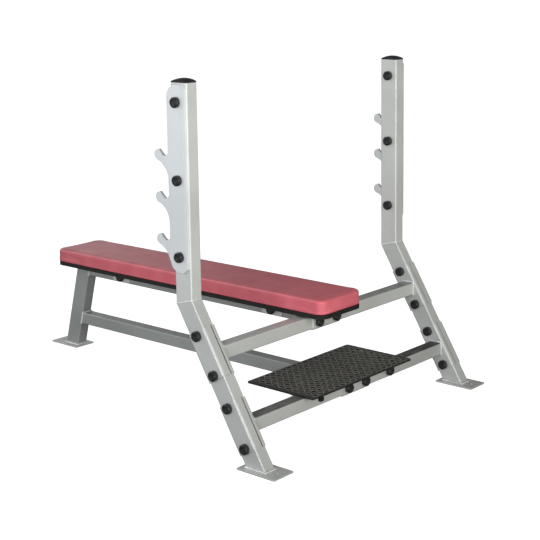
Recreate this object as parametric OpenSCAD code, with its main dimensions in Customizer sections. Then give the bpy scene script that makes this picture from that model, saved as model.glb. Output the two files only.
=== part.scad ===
// Flat olympic bench press: two uprights with stepped bar hooks, a padded bench and a spotter platform.
// X runs across the bench, +Y points to the foot end, Z is up. The origin is on the floor, under the
// middle of the footprint.

/* [Uprights] */
// Width over the outer faces of the two uprights
upright_span = 1220; // [1160:10:1240]
// Height of the upright tubes above the floor
upright_h = 1265; // [1262:1:1320]
// Y of the face of the uprights on the head end
upright_y = -530; // [-540:5:-520]
// Height of the knee, on the head side
knee_h = 535; // [525:5:560]
// Lean of the lower legs from vertical, in degrees
leg_angle = 31; // [28:1:32]

/* [Tubes] */
// Width of the upright, leg and rear leg tubes
tube_w = 50; // [46:1:52]
// Depth of the upright, leg and rear leg tubes
tube_d = 75; // [72:1:80]
// Size of the square rail and crossmember tubes
rail_size = 50; // [46:1:52]
// Wall thickness of the tubes
tube_wall = 3; // [2:0.5:4]
// Outer corner radius of the tubes
tube_r = 5; // [4:0.5:6]
// Height of the middle of the upper crossmember and top rail
upper_z = 357; // [355:1:359]
// Height of the middle of the lower crossmember and bottom rail
lower_z = 133; // [125:1:140]

/* [Bar racks] */
// Thickness of the hook plates
rack_t = 12; // [8:1:12]
// Distance between two hook throats
hook_pitch = 144; // [140:1:146]
// Height of the bottom of the lowest throat
hook_z = 732; // [726:1:740]
// Radius of a throat
throat_r = 16; // [15:0.5:17]

/* [Pad] */
// Width of the pad
pad_w = 250; // [230:5:300]
// Length of the pad
pad_l = 1466; // [1420:2:1470]
// Thickness of the soft part
cushion_t = 55; // [40:1:60]
// Thickness of the board
board_t = 15; // [12:1:18]
// Radius of the four upright corners
pad_r = 42; // [30:1:50]
// Y of the middle of the pad
pad_y = 34; // [30:1:40]

/* [Rear leg] */
// Lean of the rear leg from vertical, in degrees
rear_angle = 15; // [10:1:16]
// Y of the head face of the rear leg at floor level
rear_y = 762; // [750:1:765]

/* [Platform] */
// Width of the spotter platform
platform_w = 590; // [500:10:700]
// Depth of the spotter platform
platform_d = 307; // [280:1:320]
// Thickness of the steel sheet
platform_t = 3; // [2:0.5:4]
// Thickness of the ring mat on it
tread_t = 4; // [3:0.5:6]

/* [Fasteners] */
// Bolt diameter
bolt_d = 12; // [10:1:12]
// Diameter of the plastic bolt caps
cap_d = 36; // [34:1:40]
// Height of the plastic bolt caps
cap_h = 16; // [15:1:20]

/* [Hidden] */
$fn = 48;

frame_paint = "#c9ccca";
hardware_zinc = "#9a9c9e";
black_steel = "#202122";
black_plastic = "#17181a";
pad_red = "#a8414e";
tread_black = "#2b2c2d";
board_black = "#1c1a1b";

eps = 0.01;
big = 3000;
plate_t = 6;
saddle_t = 4;
saddle_l = 176;
saddle_gap = 2;
outer_flange = 32;
inner_flange = tube_w - outer_flange - saddle_gap;
leg_bolt_pitch = 144;
hole_d = bolt_d + 1;

// Middle of an upright tube, and the point where its middle line meets the leg's
post_x = upright_span / 2 - tube_w / 2;
post_y = upright_y + tube_d / 2;
knee_z = knee_h - tube_d / 2 * tan(leg_angle / 2);
// Y of the middle line of the front legs at a height
function leg_y(z) = post_y - (knee_z - z) * tan(leg_angle);
upper_y = leg_y(upper_z);
lower_y = leg_y(lower_z);
// Y of the head face of the rear leg at a height
function rear_face_y(z) = rear_y - z * tan(rear_angle);

foot_l = 165;
foot_w = 100;
foot_end_y = 906;
anchor_d = 13;
anchor_inset = 28;

rack_edge_y = upright_y + 83;
rack_head_y = upright_y + 7;
rack_top = 1260;
rack_bottom = 628;
rack_bolt_zs = [682, 942, 1202];

cap_dome_h = 15;
cap_plug = 20;

board_z = upper_z + rail_size / 2 + 5;
cushion_z = board_z + board_t;
bracket_t = 5;
pad_flange_t = 4;
pad_bracket_w = 200;
pad_bracket_l = 100;
pad_bracket_ys = [-377, 460];
pad_screw_x = 80;
pad_screw_y = 32;
pad_screw_d = 8;
insert_h = 12;

rail_saddle_w = 156;
rail_bolt_x = 50;

platform_z = lower_z + rail_size / 2;
platform_y = -639.5;
platform_r = 8;
platform_bolt_x = 205;
tread_pitch = [31, 30.7];
tread_hole_d = 20;
tread_columns = 18;
tread_rows = 10;
angle_leg = 50;
angle_reach = 200;
platform_screw_d = 8;
platform_screw_ys = [40, 160];

washer_d = 24;
washer_t = 2.5;
head_af = 18;
head_h = 7.5;
nut_h = 8;
cap_cavity_d = 25;
cap_cavity_h = 12.5;

// Rectangle with round corners, centred
module rounded_rect(w, d, r) {
  square([w - 2 * r, d], center = true);
  square([w, d - 2 * r], center = true);
  for (x = [-1, 1])
    for (y = [-1, 1])
      translate([x * (w / 2 - r), y * (d / 2 - r)])
        circle(r);
}

// Wall section of a rectangular tube
module tube_section(w, d) {
  difference() {
    rounded_rect(w, d, tube_r);
    rounded_rect(w - 2 * tube_wall, d - 2 * tube_wall, tube_r - tube_wall / 2);
  }
}

// Straight hole along X, Y or Z, centred
module hole_x(d, l) {
  rotate([0, 90, 0])
    cylinder(d = d, h = l, center = true);
}

module hole_y(d, l) {
  rotate([90, 0, 0])
    cylinder(d = d, h = l, center = true);
}

// Places its children in the left or right leg's own frame: the origin on the knee, Z up the leg
module on_leg(side) {
  translate([side * post_x, post_y, knee_z])
    rotate([-leg_angle, 0, 0])
      children();
}

// Distance down the leg from the knee to a crossmember's middle
function leg_s(z) = (knee_z - z) / cos(leg_angle);

// Places its children at both bolts of one crossmember on a leg
module at_leg_bolts(side, z) {
  on_leg(side)
    for (k = [-1, 1])
      translate([0, 0, -leg_s(z) + k * leg_bolt_pitch / 2])
        children();
}

// Half space above the mitre plane of the knee
module above_mitre() {
  translate([0, post_y, knee_z])
    rotate([-leg_angle / 2, 0, 0])
      translate([-big / 2, -big / 2, 0])
        cube(big);
}

module upright(side) {
  color(frame_paint)
    difference() {
      intersection() {
        translate([side * post_x, post_y, knee_z - 60])
          linear_extrude(upright_h - knee_z + 60)
            tube_section(tube_w, tube_d);
        above_mitre();
      }
      for (z = rack_bolt_zs)
        translate([side * post_x, post_y, z])
          hole_x(hole_d, tube_w + 2);
    }
}

module leg(side) {
  color(frame_paint)
    difference() {
      on_leg(side)
        translate([0, 0, -leg_s(0) - 80])
          linear_extrude(leg_s(0) + 140)
            tube_section(tube_w, tube_d);
      above_mitre();
      translate([-big / 2, -big / 2, plate_t - big])
        cube(big);
      for (z = [upper_z, lower_z])
        at_leg_bolts(side, z)
          hole_x(hole_d, tube_w + 2);
    }
}

// Floor plate with one anchor hole, its hole end towards the origin of Y
module foot_plate() {
  difference() {
    translate([0, foot_l / 2, 0])
      linear_extrude(plate_t)
        rounded_rect(foot_w, foot_l, 3);
    translate([0, anchor_inset, plate_t / 2])
      cylinder(d = anchor_d, h = plate_t + 2, center = true);
  }
}

module front_foot_plate(side) {
  color(frame_paint)
    translate([side * post_x, -foot_end_y, 0])
      foot_plate();
}

module rear_foot_plate() {
  color(frame_paint)
    translate([0, foot_end_y, 0])
      rotate([0, 0, 180])
        foot_plate();
}

// Domed plug that closes the top of an upright
module upright_cap(side) {
  dome_r = 90;
  plug_w = tube_w - 2 * tube_wall - 1;
  plug_d = tube_d - 2 * tube_wall - 1;
  color(black_plastic)
    translate([side * post_x, post_y, upright_h]) {
      intersection() {
        linear_extrude(cap_dome_h)
          rounded_rect(tube_w, tube_d, tube_r);
        translate([0, 0, cap_dome_h - dome_r])
          sphere(dome_r);
      }
      translate([0, 0, -cap_plug])
        linear_extrude(cap_plug + eps)
          difference() {
            rounded_rect(plug_w, plug_d, 3);
            rounded_rect(plug_w - 5, plug_d - 5, 2);
          }
    }
}

// Points along an arc from angle a0 to a1 in n steps
function arc(centre, r, a0, a1, n) =
  [for (i = [0:n]) centre + r * [cos(a0 + (a1 - a0) * i / n), sin(a0 + (a1 - a0) * i / n)]];

// Outline of one hook from its root upwards, in the plane of the plate: x is the distance from the plate's
// edge, y the height over the bottom of the throat. A concave arc rises to a round nose, and a ramp at 45
// degrees leads back down into the round throat.
hook_under_r = 70;
hook_nose_r = 18.5;
hook_nose = [45, 2];
hook_under = [hook_under_r, hook_nose[1] - sqrt(pow(hook_under_r + hook_nose_r, 2)
                                                - pow(hook_under_r - hook_nose[0], 2))];
hook_touch = atan2(hook_nose[1] - hook_under[1], hook_nose[0] - hook_under[0]);
nose_to_ramp = (hook_nose[0] - hook_nose[1]) / sqrt(2) - throat_r;
nose_end = 135 - acos(nose_to_ramp / hook_nose_r);
function hook_points(root_angle) =
  concat(arc(hook_under, hook_under_r, root_angle, hook_touch, 10),
         arc(hook_nose, hook_nose_r, hook_touch - 180, nose_end, 12),
         arc([throat_r, throat_r], throat_r, -45, -180, 12));

module rack_outline() {
  body_w = rack_edge_y - rack_head_y;
  corner_r = 42;
  chamfer = 14;
  low_corner = [-corner_r, rack_bottom + corner_r];
  high_corner = [-corner_r, rack_top - corner_r];
  polygon(concat(
    arc(low_corner, corner_r, -90, -15, 8),
    [for (k = [0:2]) for (p = hook_points(k == 0 ? 162 : 180)) p + [0, hook_z + k * hook_pitch]],
    arc(high_corner, corner_r, 0, 90, 8),
    [[chamfer - body_w, rack_top], [-body_w, rack_top - chamfer],
     [-body_w, rack_bottom + chamfer], [chamfer - body_w, rack_bottom]]));
}

module bar_rack(side) {
  color(frame_paint)
    difference() {
      translate([side * (upright_span / 2 + rack_t / 2) - rack_t / 2, rack_edge_y, 0])
        rotate([90, 0, 90])
          linear_extrude(rack_t)
            rack_outline();
      for (z = rack_bolt_zs)
        translate([side * (upright_span / 2 + rack_t / 2), post_y, z])
          hole_x(hole_d, rack_t + 2);
    }
}

// Square tube across the bench between the inner saddles, with Y holes at the given places
module crossmember(y, z, xs) {
  color(frame_paint)
    difference() {
      translate([-post_x + tube_w / 2 + saddle_t, y, z])
        rotate([90, 0, 90])
          linear_extrude(2 * post_x - tube_w - 2 * saddle_t)
            tube_section(rail_size, rail_size);
      for (x = xs)
        translate([x, y, z])
          hole_y(hole_d, rail_size + 2);
    }
}

module upper_crossmember() {
  crossmember(upper_y, upper_z, [-rail_bolt_x, rail_bolt_x]);
}

module lower_crossmember() {
  crossmember(lower_y, lower_z, [-platform_bolt_x, -rail_bolt_x, rail_bolt_x, platform_bolt_x]);
}

// Channel section that wraps a tube of size w by d: x0 to x1 is the part of the width it covers
module channel_section(w, d, x0, x1) {
  intersection() {
    difference() {
      rounded_rect(w + 2 * saddle_t, d + 2 * saddle_t, tube_r + saddle_t);
      rounded_rect(w, d, tube_r);
    }
    translate([x0, -d])
      square([x1 - x0, 2 * d]);
  }
}

// Bolted channel on a leg, outside (covers most of the sides) or inside (carries the crossmember)
module leg_saddle(side, z, outer) {
  x_out = tube_w / 2 + saddle_t;
  x_outer = tube_w / 2 - outer_flange;
  x_inner = inner_flange - tube_w / 2;
  color(frame_paint)
    difference() {
      on_leg(side)
        translate([0, 0, -leg_s(z) - saddle_l / 2])
          linear_extrude(saddle_l)
            mirror([side < 0 ? 1 : 0, 0])
              channel_section(tube_w, tube_d, outer ? x_outer : -x_out, outer ? x_out : x_inner);
      at_leg_bolts(side, z)
        hole_x(hole_d, tube_w + 4 * saddle_t);
    }
}

// Outer shape of the rear leg, lengthened at both ends
module rear_leg_line(solid) {
  translate([0, rear_y, 0])
    rotate([rear_angle, 0, 0])
      translate([0, tube_d / 2, -60])
        linear_extrude(600)
          if (solid)
            square([4 * tube_w, tube_d], center = true);
          else
            tube_section(tube_w, tube_d);
}

module rear_leg() {
  top = upper_z + rail_size / 2;
  color(frame_paint)
    intersection() {
      rear_leg_line(false);
      translate([-tube_w, 0, plate_t])
        cube([2 * tube_w, 2 * foot_end_y, top - plate_t]);
    }
}

// Rail along the bench, from a crossmember's saddle to the rear leg, with X holes at the given places
module rail(y0, z, ys) {
  color(frame_paint)
    difference() {
      translate([0, rear_face_y(z) + 40, z])
        rotate([90, 0, 0])
          linear_extrude(rear_face_y(z) + 40 - y0)
            tube_section(rail_size, rail_size);
      rear_leg_line(true);
      for (y = ys)
        translate([0, y, z])
          hole_x(hole_d, rail_size + 2);
    }
}

module top_rail() {
  rail(upper_y + rail_size / 2 + saddle_t, upper_z, pad_bracket_ys);
}

module bottom_rail() {
  rail(lower_y + rail_size / 2 + saddle_t, lower_z, []);
}

// Channel on a crossmember where a rail meets it: the rail's own, or the clamp on the head side. The
// lower pair has no top flange, because the platform lies there.
module rail_channel(y, z, clamp, top_flange) {
  y_out = rail_size / 2 + saddle_t;
  y_clamp = outer_flange - rail_size / 2;
  y_rail = rail_size / 2 - inner_flange;
  color(frame_paint)
    difference() {
      translate([-rail_saddle_w / 2, y, z])
        rotate([90, 0, 90])
          linear_extrude(rail_saddle_w)
            channel_section(rail_size, rail_size, clamp ? -y_out : y_rail, clamp ? y_clamp : y_out);
      if (!top_flange)
        translate([-rail_saddle_w, y - rail_size, z + rail_size / 2])
          cube([2 * rail_saddle_w, 2 * rail_size, 4 * saddle_t]);
      for (k = [-1, 1])
        translate([k * rail_bolt_x, y, z])
          hole_y(hole_d, rail_size + 4 * saddle_t);
    }
}

// Saddle over the top rail that carries the pad: a plate with a flange down each side of the rail
module pad_bracket(y) {
  flange_h = 45;
  rail_top = upper_z + rail_size / 2;
  color(frame_paint)
    translate([0, y, rail_top])
      difference() {
        union() {
          linear_extrude(bracket_t)
            rounded_rect(pad_bracket_w, pad_bracket_l, 8);
          for (k = [-1, 1])
            translate([k * (rail_size + pad_flange_t) / 2, 0, (bracket_t - flange_h) / 2])
              cube([pad_flange_t, pad_bracket_l, flange_h + bracket_t], center = true);
        }
        translate([0, 0, -rail_size / 2])
          hole_x(hole_d, rail_size + 4 * pad_flange_t);
        at_pad_screws()
          cylinder(d = pad_screw_d + 1, h = 4 * bracket_t, center = true);
      }
}

// Places its children at the four screws of one pad bracket
module at_pad_screws() {
  for (x = [-1, 1])
    for (y = [-1, 1])
      translate([x * pad_screw_x, y * pad_screw_y, 0])
        children();
}

module pad_board() {
  inset = 2;
  color(board_black)
    difference() {
      translate([0, pad_y, board_z])
        linear_extrude(board_t)
          rounded_rect(pad_w - 2 * inset, pad_l - 2 * inset, pad_r - inset);
      for (y = pad_bracket_ys)
        translate([0, y, board_z - eps])
          at_pad_screws()
            cylinder(d = pad_screw_d + 4, h = insert_h + eps);
    }
}

module pad_cushion() {
  color(pad_red)
    translate([0, pad_y, cushion_z])
      linear_extrude(cushion_t)
        rounded_rect(pad_w, pad_l, pad_r);
}

// Hex head and shank, the head's bearing face at z = 0 and the shank below it
module screw(d, af, head, l) {
  cylinder(d = af / cos(30), h = head, $fn = 6);
  translate([0, 0, -l])
    cylinder(d = d, h = l + eps);
}

module pad_screws() {
  color(hardware_zinc)
    for (y = pad_bracket_ys)
      translate([0, y, board_z - bracket_t])
        at_pad_screws()
          rotate([180, 0, 0])
            screw(pad_screw_d, 13, 5.5, bracket_t + insert_h - 1);
}

// Threaded inserts in the underside of the board
module pad_inserts() {
  color(hardware_zinc)
    for (y = pad_bracket_ys)
      translate([0, y, board_z])
        at_pad_screws()
          difference() {
            cylinder(d = pad_screw_d + 4, h = insert_h);
            translate([0, 0, -1])
              cylinder(d = pad_screw_d + 0.2, h = insert_h + 2);
          }
}

module at_platform_screws() {
  for (x = [-1, 1])
    for (y = platform_screw_ys)
      translate([x * platform_bolt_x, lower_y + rail_size / 2 + y, platform_z])
        children();
}

module platform_plate() {
  color(tread_black)
    difference() {
      translate([0, platform_y, platform_z])
        linear_extrude(platform_t)
          rounded_rect(platform_w, platform_d, platform_r);
      at_platform_screws()
        cylinder(d = platform_screw_d + 0.2, h = 4 * platform_t, center = true);
    }
}

// Rubber ring mat, its holes in straight rows
module platform_tread() {
  color(tread_black)
    translate([0, platform_y, platform_z + platform_t])
      linear_extrude(tread_t)
        difference() {
          rounded_rect(platform_w, platform_d, platform_r);
          for (i = [0:tread_columns - 1])
            for (j = [0:tread_rows - 1])
              translate([(i - (tread_columns - 1) / 2) * tread_pitch[0],
                         (j - (tread_rows - 1) / 2) * tread_pitch[1]])
                circle(d = tread_hole_d);
        }
}

// Angle with two ribs, bolted to the foot face of the lower crossmember, under the platform
module platform_bracket(side) {
  rib_t = 4;
  rib_reach = 150;
  color(frame_paint)
    difference() {
      translate([side * platform_bolt_x, lower_y + rail_size / 2, platform_z]) {
        translate([-angle_leg / 2, 0, -angle_leg])
          cube([angle_leg, bracket_t, angle_leg]);
        translate([-angle_leg / 2, 0, -bracket_t])
          cube([angle_leg, angle_reach, bracket_t]);
        for (x = [-angle_leg / 2, angle_leg / 2 - rib_t])
          translate([x, 0, 0])
            rotate([90, 0, 90])
              linear_extrude(rib_t)
                polygon([[bracket_t / 2, -bracket_t / 2], [bracket_t / 2, -angle_leg + bracket_t],
                         [bracket_t, -angle_leg + bracket_t], [rib_reach, -2 * bracket_t],
                         [rib_reach, -bracket_t / 2]]);
      }
      translate([side * platform_bolt_x, lower_y, lower_z])
        hole_y(hole_d, 2 * rail_size);
      at_platform_screws()
        cylinder(d = platform_screw_d + 1, h = 4 * bracket_t, center = true);
    }
}

module platform_screws() {
  color(hardware_zinc)
    at_platform_screws()
      translate([0, 0, -bracket_t])
        rotate([180, 0, 0])
          screw(platform_screw_d, 13, 5.3, bracket_t + platform_t - 0.2);
}

// Parts of one through bolt. Its middle is at the origin and its head points up: the head's side of the
// clamped stack is at z = up, the nut's side at z = -down.
module through_bolt(up, down) {
  color(hardware_zinc)
    translate([0, 0, up + washer_t])
      screw(bolt_d, head_af, head_h, up + down + 2 * washer_t + nut_h + 1);
}

module washer_pair(up, down) {
  color(hardware_zinc)
    for (z = [up, -down - washer_t])
      translate([0, 0, z])
        difference() {
          cylinder(d = washer_d, h = washer_t);
          translate([0, 0, -1])
            cylinder(d = hole_d, h = washer_t + 2);
        }
}

module bolt_nut(down) {
  color(hardware_zinc)
    translate([0, 0, -down - washer_t - nut_h])
      difference() {
        cylinder(d = head_af / cos(30), h = nut_h, $fn = 6);
        translate([0, 0, -1])
          cylinder(d = bolt_d + 0.2, h = nut_h + 2);
      }
}

// Round plastic cap with a chamfered rim and a shallow dish in its end, its open side at z = 0
module bolt_cap() {
  rim = 3.5;
  dish_d = 22;
  dish_depth = 1.5;
  dish_r = (pow(dish_d / 2, 2) + pow(dish_depth, 2)) / (2 * dish_depth);
  color(black_plastic)
    difference() {
      union() {
        cylinder(d = cap_d, h = cap_h - rim);
        translate([0, 0, cap_h - rim])
          cylinder(d1 = cap_d, d2 = cap_d - 2 * rim, h = rim);
      }
      translate([0, 0, cap_h - dish_depth + dish_r])
        sphere(dish_r);
      translate([0, 0, -eps])
        cylinder(d = cap_cavity_d, h = cap_cavity_h + eps);
    }
}

module nut_cap(down) {
  translate([0, 0, -down])
    rotate([180, 0, 0])
      bolt_cap();
}

module cap_pair(up, down) {
  translate([0, 0, up])
    bolt_cap();
  nut_cap(down);
}

// One kind of piece of a through bolt
module bolt_piece(kind, up, down) {
  if (kind == "bolt") through_bolt(up, down);
  if (kind == "washer") washer_pair(up, down);
  if (kind == "nut") bolt_nut(down);
  if (kind == "cap") cap_pair(up, down);
}

module rack_fasteners(kind) {
  for (side = [-1, 1])
    for (z = rack_bolt_zs)
      translate([side * post_x, post_y, z])
        rotate([0, side * 90, 0])
          bolt_piece(kind, tube_w / 2 + rack_t, tube_w / 2);
}

module leg_fasteners(kind) {
  grip = tube_w / 2 + saddle_t;
  for (side = [-1, 1])
    for (z = [upper_z, lower_z])
      at_leg_bolts(side, z)
        rotate([0, side * 90, 0])
          bolt_piece(kind, grip, grip);
}

module rail_fasteners(kind) {
  grip = rail_size / 2 + saddle_t;
  for (x = [-rail_bolt_x, rail_bolt_x])
    for (at = [[upper_y, upper_z], [lower_y, lower_z]])
      translate([x, at[0], at[1]])
        rotate([90, 0, 0])
          bolt_piece(kind, grip, grip);
}

module pad_bracket_fasteners(kind) {
  grip = rail_size / 2 + pad_flange_t;
  for (y = pad_bracket_ys)
    translate([0, y, upper_z])
      rotate([0, -90, 0])
        bolt_piece(kind, grip, grip);
}

// Black bolts, the left one without a cap on its head
module platform_fasteners(kind) {
  grip = rail_size / 2 + bracket_t;
  color(kind == "cap" ? black_plastic : black_steel)
    for (x = [-platform_bolt_x, platform_bolt_x])
      translate([x, lower_y, lower_z])
        rotate([90, 0, 0])
          if (kind == "cap" && x < 0)
            nut_cap(grip);
          else
            bolt_piece(kind, rail_size / 2, grip);
}

upright(-1);  // left_upright
upright(1);  // right_upright
leg(-1);  // left_leg
leg(1);  // right_leg
front_foot_plate(-1);  // left_foot_plate
front_foot_plate(1);  // right_foot_plate
upright_cap(-1);  // left_upright_cap
upright_cap(1);  // right_upright_cap
bar_rack(-1);  // left_bar_rack
bar_rack(1);  // right_bar_rack
upper_crossmember();
lower_crossmember();
leg_saddle(-1, upper_z, true);  // left_upper_outer_saddle
leg_saddle(1, upper_z, true);  // right_upper_outer_saddle
leg_saddle(-1, lower_z, true);  // left_lower_outer_saddle
leg_saddle(1, lower_z, true);  // right_lower_outer_saddle
leg_saddle(-1, upper_z, false);  // left_upper_inner_saddle
leg_saddle(1, upper_z, false);  // right_upper_inner_saddle
leg_saddle(-1, lower_z, false);  // left_lower_inner_saddle
leg_saddle(1, lower_z, false);  // right_lower_inner_saddle
top_rail();
bottom_rail();
rear_leg();
rear_foot_plate();
rail_channel(upper_y, upper_z, false, true);  // top_rail_saddle
rail_channel(upper_y, upper_z, true, true);  // top_rail_clamp
rail_channel(lower_y, lower_z, false, false);  // bottom_rail_saddle
rail_channel(lower_y, lower_z, true, false);  // bottom_rail_clamp
pad_bracket(pad_bracket_ys[0]);  // front_pad_bracket
pad_bracket(pad_bracket_ys[1]);  // rear_pad_bracket
pad_board();
pad_cushion();
pad_screws();
pad_inserts();
platform_plate();
platform_tread();
platform_bracket(-1);  // left_platform_bracket
platform_bracket(1);  // right_platform_bracket
platform_screws();
rack_fasteners("bolt");  // rack_bolts
rack_fasteners("washer");  // rack_washers
rack_fasteners("nut");  // rack_nuts
rack_fasteners("cap");  // rack_bolt_caps
leg_fasteners("bolt");  // leg_bolts
leg_fasteners("washer");  // leg_washers
leg_fasteners("nut");  // leg_nuts
leg_fasteners("cap");  // leg_bolt_caps
rail_fasteners("bolt");  // rail_bolts
rail_fasteners("washer");  // rail_washers
rail_fasteners("nut");  // rail_nuts
rail_fasteners("cap");  // rail_bolt_caps
pad_bracket_fasteners("bolt");  // pad_bracket_bolts
pad_bracket_fasteners("washer");  // pad_bracket_washers
pad_bracket_fasteners("nut");  // pad_bracket_nuts
pad_bracket_fasteners("cap");  // pad_bracket_bolt_caps
platform_fasteners("bolt");  // platform_bolts
platform_fasteners("washer");  // platform_washers
platform_fasteners("nut");  // platform_nuts
platform_fasteners("cap");  // platform_bolt_caps
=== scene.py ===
import math

import bmesh
import bpy
from mathutils import Matrix, Vector


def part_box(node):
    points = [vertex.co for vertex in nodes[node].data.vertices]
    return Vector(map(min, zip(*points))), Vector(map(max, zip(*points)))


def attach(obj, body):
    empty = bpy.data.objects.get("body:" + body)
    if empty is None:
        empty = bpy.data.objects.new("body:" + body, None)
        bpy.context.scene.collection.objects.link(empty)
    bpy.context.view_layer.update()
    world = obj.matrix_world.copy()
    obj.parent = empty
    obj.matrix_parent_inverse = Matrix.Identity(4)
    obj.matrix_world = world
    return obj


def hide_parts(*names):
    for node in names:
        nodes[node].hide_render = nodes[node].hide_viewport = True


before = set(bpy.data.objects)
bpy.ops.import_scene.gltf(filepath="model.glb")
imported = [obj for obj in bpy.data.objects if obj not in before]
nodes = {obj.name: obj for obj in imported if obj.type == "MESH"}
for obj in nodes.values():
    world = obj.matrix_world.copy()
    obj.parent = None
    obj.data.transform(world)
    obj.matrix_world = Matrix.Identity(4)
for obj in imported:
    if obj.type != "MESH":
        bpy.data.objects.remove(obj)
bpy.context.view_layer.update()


# ---- Camera ----
# Stands off the head end, to the left, a little above the tops of the uprights, and looks down
# across the bench. The horizon leans a hair to one side.
camera_place = Vector((-3.6265, -3.5217, 1.6493))
camera_azimuth = math.radians(-48.848)
camera_drop = math.radians(9.911)
camera_lean = math.radians(-0.836)

away = Vector((
    math.sin(camera_azimuth) * math.cos(camera_drop),
    -math.cos(camera_azimuth) * math.cos(camera_drop),
    math.sin(camera_drop),
))
level = (-away).cross(Vector((0, 0, 1))).normalized()
upward = level.cross(-away)
camera_right = level * math.cos(camera_lean) + upward * math.sin(camera_lean)
camera_up = upward * math.cos(camera_lean) - level * math.sin(camera_lean)
lens = bpy.data.cameras.new("camera")
lens.sensor_width = 36
lens.lens = 86.9
lens.shift_y = -0.148
camera = bpy.data.objects.new("camera", lens)
camera_turn = Matrix((camera_right, camera_up, away)).transposed().to_4x4()
camera.matrix_world = Matrix.Translation(camera_place) @ camera_turn
bpy.context.collection.objects.link(camera)
bpy.context.scene.camera = camera


# ---- Floor and light ----
# A pale studio floor that the bench stands on, in a dim room that is brightest at eye level, with a
# window behind the viewer, a skylight and a low window past the foot end. A broad cool lamp stands
# close on the left, and a warm one off the head end.
class Wire:
    """A socket of a node tree. Arithmetic on it adds Math nodes."""

    def __init__(self, tree, socket=None):
        self.tree = tree
        self.socket = socket

    def node(self, kind, settings=None, sockets=None, output=0):
        made = self.tree.nodes.new(kind)
        for name, value in (settings or {}).items():
            if name == "stops":
                stops = made.color_ramp.elements
                while len(stops) < len(value):
                    stops.new(0.5)
                for stop, (place, shade) in zip(stops, value):
                    stop.position = place
                    stop.color = (*shade, 1)
            else:
                setattr(made, name, value)
        for name, value in (sockets or {}).items():
            if isinstance(value, Wire):
                self.tree.links.new(value.socket, made.inputs[name])
            else:
                made.inputs[name].default_value = value
        return Wire(self.tree, made.outputs[output] if len(made.outputs) else None)

    def maths(self, operation, *others):
        return self.node("ShaderNodeMath", {"operation": operation}, dict(enumerate((self, *others))))

    def __add__(self, other):
        return self.maths("ADD", other)

    def __sub__(self, other):
        return self.maths("SUBTRACT", other)

    def __rsub__(self, other):
        return self * -1 + other

    def __mul__(self, other):
        return self.maths("MULTIPLY", other)

    __radd__ = __add__
    __rmul__ = __mul__

    def axis(self, letter):
        """One component of a vector."""
        return self.node("ShaderNodeSeparateXYZ", {}, {"Vector": self}, letter)

    def noise(self, scale, detail, roughness=0.5):
        """Cloudy noise read at this place, from 0 to 1."""
        return self.node("ShaderNodeTexNoise", {}, {
            "Vector": self, "Scale": scale, "Detail": detail, "Roughness": roughness})

    def limit(self, low, high):
        """0 below low, 1 above high, and a smooth step between them."""
        return self.node("ShaderNodeMapRange", {"interpolation_type": "SMOOTHSTEP"},
                         {"Value": self, "From Min": low, "From Max": high})

    def blend(self, first, second):
        """The first colour where this is 0 and the second where it is 1."""
        first, second = [c if isinstance(c, Wire) else (*c, 1) for c in (first, second)]
        return self.node("ShaderNodeMix", {"data_type": "RGBA"}, {0: self, 6: first, 7: second}, 2)


def new_material(name):
    material = bpy.data.materials.new(name)
    material.use_nodes = True
    material.node_tree.nodes.clear()
    return material, Wire(material.node_tree)


def surface(wires, sockets):
    """Gives the material one principled shader with these sockets."""
    shader = wires.node("ShaderNodeBsdfPrincipled", {}, sockets)
    wires.node("ShaderNodeOutputMaterial", {}, {"Surface": shader})


floor_material, wires = new_material("pale_floor")
speckle = wires.node("ShaderNodeTexNoise", {}, {"Scale": 3.0, "Detail": 4.0})
surface(wires, {
    "Base Color": speckle.blend((0.60, 0.60, 0.59), (0.62, 0.62, 0.62)),
    "Roughness": 0.9, "Specular IOR Level": 0.1,
    "Emission Color": (1, 1, 1, 1), "Emission Strength": 0.86})
floor_reach = 60
floor_shape = bmesh.new()
bmesh.ops.create_grid(floor_shape, x_segments=1, y_segments=1, size=floor_reach)
floor_mesh = bpy.data.meshes.new("floor")
floor_shape.to_mesh(floor_mesh)
floor_shape.free()
floor_mesh.materials.append(floor_material)
floor = bpy.data.objects.new("floor", floor_mesh)
bpy.context.collection.objects.link(floor)
floor.visible_diffuse = False
floor.visible_glossy = False

room = bpy.data.worlds.new("room")
bpy.context.scene.world = room
room.use_nodes = True
room.node_tree.nodes.clear()
wires = Wire(room.node_tree)
direction = wires.node("ShaderNodeTexCoord", {}, {}, "Generated")
height = direction.axis("Z")
across = direction.axis("X")
along = direction.axis("Y")
glow = wires.node("ShaderNodeValToRGB", {"stops": [
    (0.0, (0.10, 0.10, 0.095)),
    (0.30, (0.24, 0.245, 0.23)),
    (0.42, (0.72, 0.73, 0.70)),
    (0.54, (0.80, 0.81, 0.80)),
    (0.72, (0.52, 0.53, 0.53)),
    (1.0, (0.22, 0.22, 0.225)),
]}, {"Fac": height * 0.5 + 0.5})
near_side = across * -0.75 + along * -0.66
skylight = (across * -0.18 + along * 0.70 + height * 0.69).limit(0.90, 0.98)
foot_window = along.limit(0.62, 0.78) * (height.limit(0.02, 0.12) - height.limit(0.35, 0.5))
near_room = near_side.limit(-0.8, 0.5)
near_window = near_side.limit(0.72, 1.0)
brightness = near_room * 0.55 + near_window * 1.5 + skylight * 4.5 + foot_window * 1.3 + 0.24
background = wires.node("ShaderNodeBackground", {}, {"Color": glow, "Strength": brightness})
wires.node("ShaderNodeOutputWorld", {}, {"Surface": background})


def soft_lamp(name, place, aim, size, spread, watts, colour):
    lamp = bpy.data.lights.new(name, "AREA")
    lamp.size = size
    lamp.spread = math.radians(spread)
    lamp.energy = watts
    lamp.color = colour
    holder = bpy.data.objects.new(name, lamp)
    holder.location = place
    holder.rotation_euler = (Vector(aim) - Vector(place)).to_track_quat("-Z", "Y").to_euler()
    holder.visible_glossy = False
    bpy.context.collection.objects.link(holder)


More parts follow.
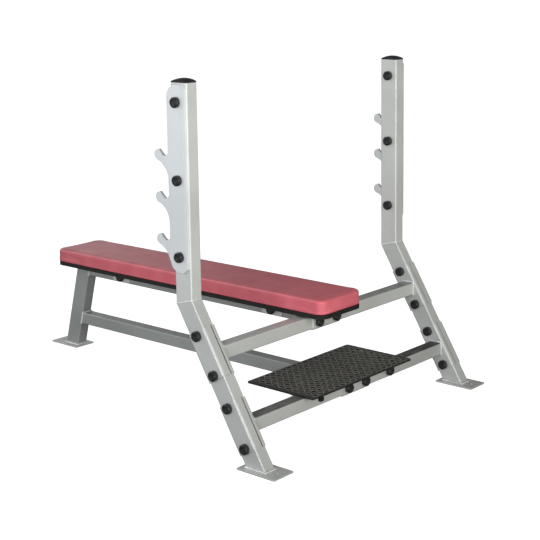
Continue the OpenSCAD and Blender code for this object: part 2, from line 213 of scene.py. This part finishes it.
soft_lamp("left_lamp", place=(-3.0, -1.4, 1.5), aim=(-0.5, -0.5, 1.25), size=1.6, spread=90,
          watts=27.8, colour=(0.93, 0.965, 1.0))
soft_lamp("head_lamp", place=(-0.5, -3.7, 1.5), aim=(-0.2, -0.5, 1.1), size=1.6, spread=90,
          watts=26.5, colour=(1.0, 0.985, 0.88))
bpy.context.scene.view_settings.view_transform = "Standard"


# ---- Steel frame ----
# Rectangular steel tubes, plates and brackets, welded and bolted up. They are powder coated in a fine
# silver with metal flakes and an orange-peel skin, and clouded between two close tones.
silver = (0.60, 0.61, 0.60)
silver_dull = (0.53, 0.54, 0.53)
# The dark colour that painted shade and soot blend the coat towards.
shade_and_soot_dark = (0.035, 0.036, 0.034)


def painted_steel(name, main, dull, roughness, dark_places=None):
    """The coat in two tones. dark_places gives, from a place, how far painted shade and soot darken the coat.
    """
    material, wires = new_material(name)
    place = wires.node("ShaderNodeTexCoord", {}, {}, "Object")
    clouds = place.noise(5.0, 3.0)
    flakes = place.noise(1600.0, 1.0)
    skin = place.noise(420.0, 2.0)
    scuffs = place.noise(26.0, 6.0, 0.7)
    rounded = wires.node("ShaderNodeBevel", {"samples": 4}, {"Radius": 0.0012})
    peel = wires.node("ShaderNodeBump", {}, {
        "Strength": 0.12, "Distance": 0.0004, "Height": skin, "Normal": rounded})
    colour = (clouds * 0.7 + flakes * 0.3).limit(0.35, 0.65).blend(dull, main)
    # Painted shade, and soot on the crossmembers, where dark_places asks for them.
    if dark_places:
        colour = dark_places(place).blend(colour, shade_and_soot_dark)
    surface(wires, {
        "Base Color": colour, "Metallic": 0.55, "Roughness": scuffs.limit(0.3, 0.75) * 0.1 + roughness,
        "Normal": peel})
    return material


def coat(material, *names):
    for name in names:
        for slot in nodes[name].material_slots:
            slot.material = material


frame_paint = painted_steel("silver_powder_coat", silver, silver_dull, 0.35)
coat(frame_paint, "left_upright", "right_upright", "left_foot_plate", "right_foot_plate", "rear_foot_plate",
     "top_rail_saddle", "top_rail_clamp", "bottom_rail_saddle", "bottom_rail_clamp",
     "front_pad_bracket", "rear_pad_bracket", "left_platform_bracket", "right_platform_bracket")


# ---- Crossmembers ----
# Two square tubes between the legs, welded to the inner saddles. Their upward faces carry painted shade
# mixed with blotches of weld soot, thickest at the right and on the lower one; the lower one is also
# painted darker towards its right end on every face, as shade.
upper_low, upper_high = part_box("upper_crossmember")
lower_low, lower_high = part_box("lower_crossmember")


# Painted shade and weld soot: the upward faces are darkened in blotches, more at the right and on the lower
# crossmember, and the lower one's right end is darkened all round as shade.
def shade_and_soot_on_top(place):
    z = place.axis("Z")
    blotches = place.noise(30.0, 4.0)
    right_end = place.axis("X").limit(0.0, 0.45)
    is_lower = z.maths("LESS_THAN", (lower_high.z + upper_low.z) / 2)
    on_upper = z.limit(upper_high.z - 0.004, upper_high.z - 0.001)
    on_lower = z.limit(lower_high.z - 0.004, lower_high.z - 0.001) * is_lower
    upper_shade_and_soot = on_upper * (blotches * 0.3 + right_end * 0.4)
    lower_shade_and_soot = on_lower * (blotches * 0.4 + 0.55)
    return upper_shade_and_soot + lower_shade_and_soot + is_lower * right_end * 0.22


crossmember_paint = painted_steel("crossmember_powder_coat", silver, silver_dull, 0.35, shade_and_soot_on_top)
coat(crossmember_paint, "upper_crossmember", "lower_crossmember")


# ---- Rails and rear leg ----
# The two long square tubes under the pad, and the slanted leg that they are welded to. They are steel
# in the same coat, painted darker as shade under the pad.
# The frame's silver painted darker as shade.
silver_rail_shaded = (0.35, 0.365, 0.36)
silver_rail_dull_shaded = (0.31, 0.322, 0.317)
rail_shaded_paint = painted_steel("rail_shaded_powder_coat", silver_rail_shaded, silver_rail_dull_shaded, 0.36)
coat(rail_shaded_paint, "top_rail", "bottom_rail", "rear_leg")


# ---- Front legs and their saddles ----
# The leaning lower tubes and the folded channels bolted round them, in the frame's coat painted a little
# darker as shade. Between the two halves of a saddle is an open slot 2 mm wide; the slot and the saddle
# edges beside it are painted dark as shade, more so on the left.
leg_lean = math.radians(31)
tube_wide = 0.050
tube_deep = 0.075
upright_low, upright_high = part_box("right_upright")
leg_low, leg_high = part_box("right_leg")
knee_y = (upright_low.y + upright_high.y) / 2
knee_z = leg_high.z - tube_deep / 2 * math.tan(leg_lean / 2)
crossmembers = ((upper_low, upper_high), (lower_low, lower_high))
saddle_middles = [((low.z + high.z) / 2 - knee_z) / math.cos(leg_lean) for low, high in crossmembers]
saddle_half = 0.088
slot_x = (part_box("right_upper_inner_saddle")[1].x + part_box("right_upper_outer_saddle")[0].x) / 2
slot_half = 0.0018


# Painted shade in the slot between a saddle's halves and along the edges beside it, stronger on the left.
def saddle_slot_shade(place):
    x = place.axis("X")
    y = place.axis("Y")
    z = place.axis("Z")
    down_leg = (y - knee_y) * math.sin(leg_lean) + (z - knee_z) * math.cos(leg_lean)
    in_slot = x.maths("ABSOLUTE").maths("COMPARE", slot_x, slot_half)
    at_saddle = sum(down_leg.maths("COMPARE", middle, saddle_half) for middle in saddle_middles)
    darkness = x.maths("LESS_THAN", 0.0) * 0.6 + 0.4
    return in_slot * at_saddle * darkness


# The legs' coat is the frame's silver painted a little darker as shade.
leg_silver_shaded = (0.55, 0.56, 0.55)
leg_silver_dull_shaded = (0.49, 0.50, 0.49)
leg_paint = painted_steel("leg_powder_coat", leg_silver_shaded, leg_silver_dull_shaded, 0.35, saddle_slot_shade)
coat(leg_paint, "left_leg", "right_leg", "left_upper_outer_saddle", "right_upper_outer_saddle",
     "left_lower_outer_saddle", "right_lower_outer_saddle",
     "left_upper_inner_saddle", "right_upper_inner_saddle",
     "left_lower_inner_saddle", "right_lower_inner_saddle")


# ---- Weld beads ----
# Fillets of weld metal round the ends of the tubes, where they meet the foot plates, saddles, legs
# and each other at the knees. The beads are rippled, and coated over with the frame, their colour
# clouded lighter than the frame as a painted highlight.
rail_wide = 0.050
tube_corner = 0.005


def mesh_object(name, shape):
    mesh = bpy.data.meshes.new(name)
    shape.to_mesh(mesh)
    shape.free()
    made = bpy.data.objects.new(name, mesh)
    bpy.context.collection.objects.link(made)
    return made


def weld_ring(shape, place, width, depth, reach, height):
    """A bead round a tube of that width and depth: reach is its size on the plate, height up the tube."""
    ring = bmesh.new()
    bmesh.ops.create_grid(ring, x_segments=1, y_segments=1, size=0.5)
    bmesh.ops.scale(ring, vec=(width, depth, 1), verts=ring.verts)
    bmesh.ops.bevel(ring, geom=ring.verts[:], offset=tube_corner, affect="VERTICES", segments=4,
                    profile=0.5, material=-1)
    bmesh.ops.delete(ring, geom=ring.faces[:], context="FACES_ONLY")
    root = ring.edges[:]
    edge = root
    for out, up in ((0, height), (0.7 * reach, 0.6 * height), (reach, 0)):
        grown = bmesh.ops.extrude_edge_only(ring, edges=edge)["geom"]
        edge = [g for g in grown if isinstance(g, bmesh.types.BMEdge) and len(g.link_faces) == 1]
        rim = [g for g in grown if isinstance(g, bmesh.types.BMVert)]
        level = rim[0].co.z
        wide = max(v.co.x for v in rim)
        deep = max(v.co.y for v in rim)
        bmesh.ops.scale(ring, vec=((width / 2 + out) / wide, (depth / 2 + out) / deep, 1), verts=rim)
        bmesh.ops.translate(ring, vec=(0, 0, up - level), verts=rim)
    bmesh.ops.bridge_loops(ring, edges=root + edge)
    bmesh.ops.recalc_face_normals(ring, faces=ring.faces)
    bmesh.ops.transform(ring, matrix=place, verts=ring.verts)
    part = bpy.data.meshes.new("ring")
    ring.to_mesh(part)
    ring.free()
    shape.from_mesh(part)
    bpy.data.meshes.remove(part)


def plane(centre, across_axis, normal):
    """A matrix that puts a flat drawing on the plane through centre, its X along across_axis."""
    x = Vector(across_axis).normalized()
    z = Vector(normal).normalized()
    return Matrix.Translation(centre) @ Matrix((x, z.cross(x), z)).transposed().to_4x4()


half_lean = leg_lean / 2
knee_normal = Vector((0, math.sin(half_lean), math.cos(half_lean)))
knee_bead_drop = 0.0015
upright_x = (upright_low.x + upright_high.x) / 2
plate_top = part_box("rear_foot_plate")[1].z
leg_depth = tube_deep / math.cos(leg_lean)
rear_lean = math.radians(15)
rear_depth = tube_deep / math.cos(rear_lean)
rear_low, rear_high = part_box("rear_leg")


def rear_face_y(z):
    """The head face of the rear leg at a height."""
    return rear_low.y + (rear_high.z - z) * math.tan(rear_lean)


shape = bmesh.new()
for side in (-1, 1):
    foot = plane((side * upright_x, leg_low.y + leg_depth / 2, plate_top), (1, 0, 0), (0, 0, 1))
    weld_ring(shape, foot, tube_wide, leg_depth, reach=0.005, height=0.005)
    knee_middle = Vector((side * upright_x, knee_y, knee_z)) - knee_normal * knee_bead_drop
    knee = plane(knee_middle, (1, 0, 0), knee_normal)
    weld_ring(shape, knee, tube_wide, tube_deep / math.cos(half_lean), reach=0.0014, height=0.004)
    for low, high in crossmembers:
        middle = (low + high) / 2
        end = plane((side * high.x, middle.y, middle.z), (0, 1, 0), (-side, 0, 0))
        weld_ring(shape, end, rail_wide, rail_wide, reach=0.005, height=0.005)
for rail, saddle in (("top_rail", "top_rail_saddle"), ("bottom_rail", "bottom_rail_saddle")):
    rail_low, rail_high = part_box(rail)
    z = (rail_low.z + rail_high.z) / 2
    head_end = plane((0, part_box(saddle)[1].y, z), (1, 0, 0), (0, 1, 0))
    weld_ring(shape, head_end, rail_wide, rail_wide, reach=0.004, height=0.005)
    foot_end = plane((0, rear_face_y(z), z), (1, 0, 0), (0, -math.cos(rear_lean), -math.sin(rear_lean)))
    weld_ring(shape, foot_end, rail_wide, rail_wide / math.cos(rear_lean), reach=0.004, height=0.006)
rear_foot = plane((0, rear_face_y(plate_top) + rear_depth / 2, plate_top), (1, 0, 0), (0, 0, 1))
weld_ring(shape, rear_foot, tube_wide, rear_depth, reach=0.005, height=0.005)
welds = mesh_object("weld_beads", shape)
for face in welds.data.polygons:
    face.use_smooth = True
weld_coat, wires = new_material("coated_weld")
place = wires.node("ShaderNodeTexCoord", {}, {}, "Object")
ripple = place.noise(240.0, 2.0)
spatter_and_highlight = place.noise(60.0, 3.0)
# The bead colour is clouded from the frame's silver towards a light grey, a painted highlight.
surface(wires, {
    "Base Color": spatter_and_highlight.limit(0.35, 0.65).blend(silver, (0.80, 0.81, 0.80)),
    "Metallic": 0.5, "Roughness": ripple * 0.25 + 0.22,
    "Normal": wires.node("ShaderNodeBump", {}, {"Strength": 0.7, "Distance": 0.0015, "Height": ripple})})
welds.data.materials.append(weld_coat)
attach(welds, "root")


# ---- Bar racks ----
# Laser-cut 12 mm plates bolted flat to the outside of the uprights. They have the frame's coat, a
# little lighter and cooler.
rack_paint = painted_steel("rack_powder_coat", (0.68, 0.70, 0.72), (0.62, 0.64, 0.66), 0.34)
coat(rack_paint, "left_bar_rack", "right_bar_rack")


# ---- Plastic caps ----
# Black polypropylene: a domed plug in the top of each upright, and a round cap pressed over each
# bolt head and nut. The mould leaves a fine satin grain.
def moulded_plastic(name, colour, roughness):
    material, wires = new_material(name)
    place = wires.node("ShaderNodeTexCoord", {}, {}, "Object")
    grain = place.noise(1400.0, 2.0)
    dust = place.noise(60.0, 5.0)
    dusty = tuple(c * 1.7 + 0.002 for c in colour)
    surface(wires, {
        "Base Color": dust.limit(0.35, 0.8).blend(colour, dusty),
        "Roughness": dust * 0.15 + roughness,
        "Normal": wires.node("ShaderNodeBump", {}, {"Strength": 0.15, "Distance": 0.0003, "Height": grain})})
    return material


cap_plastic = moulded_plastic("black_cap_plastic", (0.006, 0.006, 0.007), 0.26)
coat(cap_plastic, "left_upright_cap", "right_upright_cap", "rack_bolt_caps", "leg_bolt_caps",
     "rail_bolt_caps", "pad_bracket_bolt_caps", "platform_bolt_caps")


# ---- Bolts and screws ----
# Hex bolts, washers and nuts under the caps, and the screws and inserts that hold the pad board and
# the platform. They are zinc-plated and slightly cloudy; the platform's own bolts are blackened.
def plated_steel(name, colour):
    material, wires = new_material(name)
    place = wires.node("ShaderNodeTexCoord", {}, {}, "Object")
    cloud = place.noise(180.0, 4.0)
    clouded = tuple(c * 0.8 for c in colour)
    surface(wires, {
        "Base Color": cloud.limit(0.3, 0.7).blend(colour, clouded),
        "Metallic": 0.95, "Roughness": cloud * 0.2 + 0.25,
        "Normal": wires.node("ShaderNodeBump", {}, {"Strength": 0.1, "Distance": 0.0003, "Height": cloud})})
    return material


zinc = plated_steel("zinc_plate", (0.55, 0.56, 0.57))
coat(zinc, "rack_bolts", "rack_washers", "rack_nuts", "leg_bolts", "leg_washers", "leg_nuts",
     "rail_bolts", "rail_washers", "rail_nuts", "pad_bracket_bolts", "pad_bracket_washers",
     "pad_bracket_nuts", "pad_screws", "pad_inserts", "platform_screws")
black_oxide = plated_steel("black_oxide", (0.05, 0.05, 0.052))
coat(black_oxide, "platform_bolts", "platform_washers", "platform_nuts")


# ---- Pad board ----
# The cushion's base: 15 mm plywood, painted black, flush with the cushion all round. It is screwed
# down to the pad brackets from below.
board_paint = moulded_plastic("black_board_paint", (0.005, 0.004, 0.004), 0.62)
coat(board_paint, "pad_board")


# ---- Cushion ----
# Firm foam under one piece of red vinyl, pulled tight over the edges and stapled under the board.
# It bulges a little at the sides and crowns a little on top; the vinyl has a fine leather grain.
pad_low, pad_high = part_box("pad_cushion")
pad_middle = (pad_low + pad_high) / 2
pad_size = pad_high - pad_low
pad_shrink = 0.002
pad_corner = 0.037
pad_edge = 0.006
pad_voxel = 0.005
pad_swell = 0.002
glue_height = 0.004
air_pressure = 4
cloth_frames = 20


def apply_modifiers(made):
    ready = made.evaluated_get(bpy.context.evaluated_depsgraph_get())
    old = made.data
    made.data = bpy.data.meshes.new_from_object(ready)
    made.modifiers.clear()
    bpy.data.meshes.remove(old)


shape = bmesh.new()
bmesh.ops.create_grid(shape, x_segments=1, y_segments=1, size=0.5)
bmesh.ops.scale(shape, vec=(pad_size.x - 2 * pad_shrink, pad_size.y - 2 * pad_shrink, 1), verts=shape.verts)
bmesh.ops.bevel(shape, geom=shape.verts[:], offset=pad_corner, affect="VERTICES", segments=8,
                profile=0.5, material=-1)
raised = bmesh.ops.extrude_face_region(shape, geom=shape.faces[:])["geom"]
bmesh.ops.translate(shape, vec=(0, 0, pad_size.z - pad_shrink),
                    verts=[v for v in raised if isinstance(v, bmesh.types.BMVert)])
top_edges = [e for e in shape.edges if all(v.co.z > pad_size.z / 2 for v in e.verts)]
bmesh.ops.bevel(shape, geom=top_edges, offset=pad_edge, affect="EDGES", segments=4, profile=0.5, material=-1)
bmesh.ops.recalc_face_normals(shape, faces=shape.faces)
bmesh.ops.translate(shape, vec=(pad_middle.x, pad_middle.y, pad_low.z), verts=shape.verts)
cushion = mesh_object("cushion_cover", shape)
remesh = cushion.modifiers.new("remesh", "REMESH")
remesh.mode = "VOXEL"
remesh.voxel_size = pad_voxel
apply_modifiers(cushion)
at_rest = [v.co.copy() for v in cushion.data.vertices]
glued = cushion.vertex_groups.new(name="glued")
glued.add([v.index for v in cushion.data.vertices if v.co.z < pad_low.z + glue_height], 1, "REPLACE")
cloth = cushion.modifiers.new("cloth", "CLOTH")
cloth.settings.vertex_group_mass = "glued"
cloth.settings.use_pressure = True
cloth.settings.uniform_pressure_force = air_pressure
cloth.settings.effector_weights.gravity = 0
for step in range(1, cloth_frames + 1):
    bpy.context.scene.frame_set(step)
apply_modifiers(cushion)
bpy.context.scene.frame_set(1)
for vertex, start in zip(cushion.data.vertices, at_rest):
    moved = vertex.co - start
    if moved.length > pad_swell:
        vertex.co = start + moved.normalized() * pad_swell
softer = cushion.modifiers.new("smooth", "SUBSURF")
softer.levels = softer.render_levels = 1

vinyl_red = (0.44, 0.088, 0.112)
vinyl_deep = (0.38, 0.070, 0.092)
vinyl, wires = new_material("red_vinyl")
place = wires.node("ShaderNodeTexCoord", {}, {}, "Object")
grain = wires.node("ShaderNodeTexVoronoi", {"feature": "DISTANCE_TO_EDGE"}, {"Vector": place, "Scale": 650.0})
fine = place.noise(1100.0, 2.0)
waves = place.noise(9.0, 2.0)
patches = place.noise(14.0, 5.0)
soft_bump = wires.node("ShaderNodeBump", {}, {"Strength": 0.25, "Distance": 0.002, "Height": waves})
grain_bump = wires.node("ShaderNodeBump", {}, {
    "Strength": 0.22, "Distance": 0.0004, "Height": grain.limit(0.0, 0.12) * 0.7 + fine * 0.3,
    "Normal": soft_bump})
surface(wires, {
    "Base Color": patches.limit(0.3, 0.7).blend(vinyl_red, vinyl_deep),
    "Roughness": patches * 0.12 + 0.32, "Coat Weight": 0.3, "Coat Roughness": 0.35, "Normal": grain_bump})
cushion.data.materials.clear()
cushion.data.materials.append(vinyl)
for face in cushion.data.polygons:
    face.use_smooth = True
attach(cushion, "root")
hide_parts("pad_cushion")


# ---- Platform ----
# A 3 mm steel sheet with round corners, painted dull black, for the spotter to stand on. It is screwed
# to two angles under it.
sheet_paint = moulded_plastic("black_sheet_paint", (0.004, 0.004, 0.004), 0.6)
coat(sheet_paint, "platform_plate")


# ---- Ring mat ----
# Moulded black rubber glued on the sheet: straight rows of round holes, each with a raised lip, in a
# thinner web that runs out to the mat's edge. The lips are painted light grey as a highlight, clouded
# unevenly, and the holes are painted black as shade.
mat_low, mat_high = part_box("platform_tread")
mat_columns = 18
mat_rows = 10
cell = (0.031, 0.0307)
hole_radius = 0.010
lip_radius = 0.0113
lip_foot = 0.0127
hole_edge_drop = 0.0008
web_drop = 0.0011
mat_corner = 0.008
mat_thick = mat_high.z - mat_low.z
hole_sides = 12

tile = bmesh.new()
start = Vector((math.cos(math.pi / 4), math.sin(math.pi / 4), 0))
profile = [(hole_radius, 0), (hole_radius, mat_thick - hole_edge_drop), (lip_radius, mat_thick),
           (lip_foot, mat_thick - web_drop)]
points = [tile.verts.new(start * radius + Vector((0, 0, level))) for radius, level in profile]
lines = [tile.edges.new(pair) for pair in zip(points, points[1:])]
bmesh.ops.spin(tile, geom=points + lines, axis=(0, 0, 1), cent=(0, 0, 0), angle=2 * math.pi,
               steps=hole_sides, use_merge=True)
bmesh.ops.remove_doubles(tile, verts=tile.verts, dist=1e-6)
for level in (0, mat_thick - web_drop):
    ring = [e for e in tile.edges if len(e.link_faces) == 1
            and all(abs(v.co.z - level) < 1e-6 for v in e.verts)]
    grid = bmesh.ops.create_grid(tile, x_segments=3, y_segments=3, size=0.5)["verts"]
    bmesh.ops.scale(tile, vec=(*cell, 1), verts=grid)
    bmesh.ops.translate(tile, vec=(0, 0, level), verts=grid)
    filling = list({f for v in grid for f in v.link_faces})
    frame_edges = list({e for f in filling for e in f.edges if len(e.link_faces) == 1})
    bmesh.ops.delete(tile, geom=filling, context="FACES_ONLY")
    inner = [e for v in grid for e in v.link_edges if not e.link_faces and e not in frame_edges]
    bmesh.ops.delete(tile, geom=list(set(inner)), context="EDGES")
    bmesh.ops.bridge_loops(tile, edges=ring + frame_edges)
one_tile = bpy.data.meshes.new("tile")
tile.to_mesh(one_tile)
tile.free()

mat = bmesh.new()
mat_middle = (mat_low + mat_high) / 2
for column in range(mat_columns):
    for row in range(mat_rows):
        known = len(mat.verts)
        mat.from_mesh(one_tile)
        mat.verts.ensure_lookup_table()
        bmesh.ops.translate(mat, verts=mat.verts[known:], vec=(
            mat_middle.x + (column - (mat_columns - 1) / 2) * cell[0],
            mat_middle.y + (row - (mat_rows - 1) / 2) * cell[1], mat_low.z))
bmesh.ops.remove_doubles(mat, verts=mat.verts, dist=1e-5)
half_width = mat_columns * cell[0] / 2
border = (mat_high.x - mat_low.x) / 2 - half_width
for side in (-1, 1):
    end = [e for e in mat.edges if len(e.link_faces) == 1
           and all(side * (v.co.x - mat_middle.x) > half_width - 1e-4 for v in e.verts)]
    grown = bmesh.ops.extrude_edge_only(mat, edges=end)["geom"]
    bmesh.ops.translate(mat, vec=(side * border, 0, 0),
                        verts=[v for v in grown if isinstance(v, bmesh.types.BMVert)])
rim = [e for e in mat.edges if len(e.link_faces) == 1]
bmesh.ops.bridge_loops(mat, edges=rim)
corners = [e for e in mat.edges if abs(e.verts[0].co.z - e.verts[1].co.z) > web_drop * 2
           and all(abs(v.co.x - mat_middle.x) > half_width + 0.01 for v in e.verts)
           and all(abs(v.co.y - mat_middle.y) > mat_rows * cell[1] / 2 - 1e-4 for v in e.verts)]
bmesh.ops.bevel(mat, geom=corners, offset=mat_corner, affect="EDGES", segments=4, profile=0.5, material=-1)
bmesh.ops.recalc_face_normals(mat, faces=mat.faces)
bpy.data.meshes.remove(one_tile)
ring_mat = mesh_object("ring_mat", mat)

rubber, wires = new_material("black_ring_mat_rubber")
place = wires.node("ShaderNodeTexCoord", {}, {}, "Object")
grit = place.noise(500.0, 3.0)
dust = place.noise(30.0, 6.0)
level = place.axis("Z")
# Painted shade: the hole walls are near black.
hole_shade = (0.003, 0.003, 0.003)
on_web = (0.022, 0.021, 0.019)
# Painted highlight: the lips are light grey, clouded unevenly.
lip_highlight = dust.limit(0.3, 0.75).blend((0.19, 0.184, 0.165), (0.28, 0.27, 0.245))
below_lip = level.limit(mat_high.z - 0.0024, mat_high.z - 0.0013).blend(hole_shade, on_web)
surface(wires, {
    "Base Color": level.limit(mat_high.z - 0.0010, mat_high.z - 0.0001).blend(below_lip, lip_highlight),
    "Roughness": grit * 0.2 + 0.45,
    "Normal": wires.node("ShaderNodeBump", {}, {"Strength": 0.3, "Distance": 0.0004, "Height": grit})})
ring_mat.data.materials.append(rubber)
coat(rubber, "platform_tread")
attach(ring_mat, "root")
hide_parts("platform_tread")
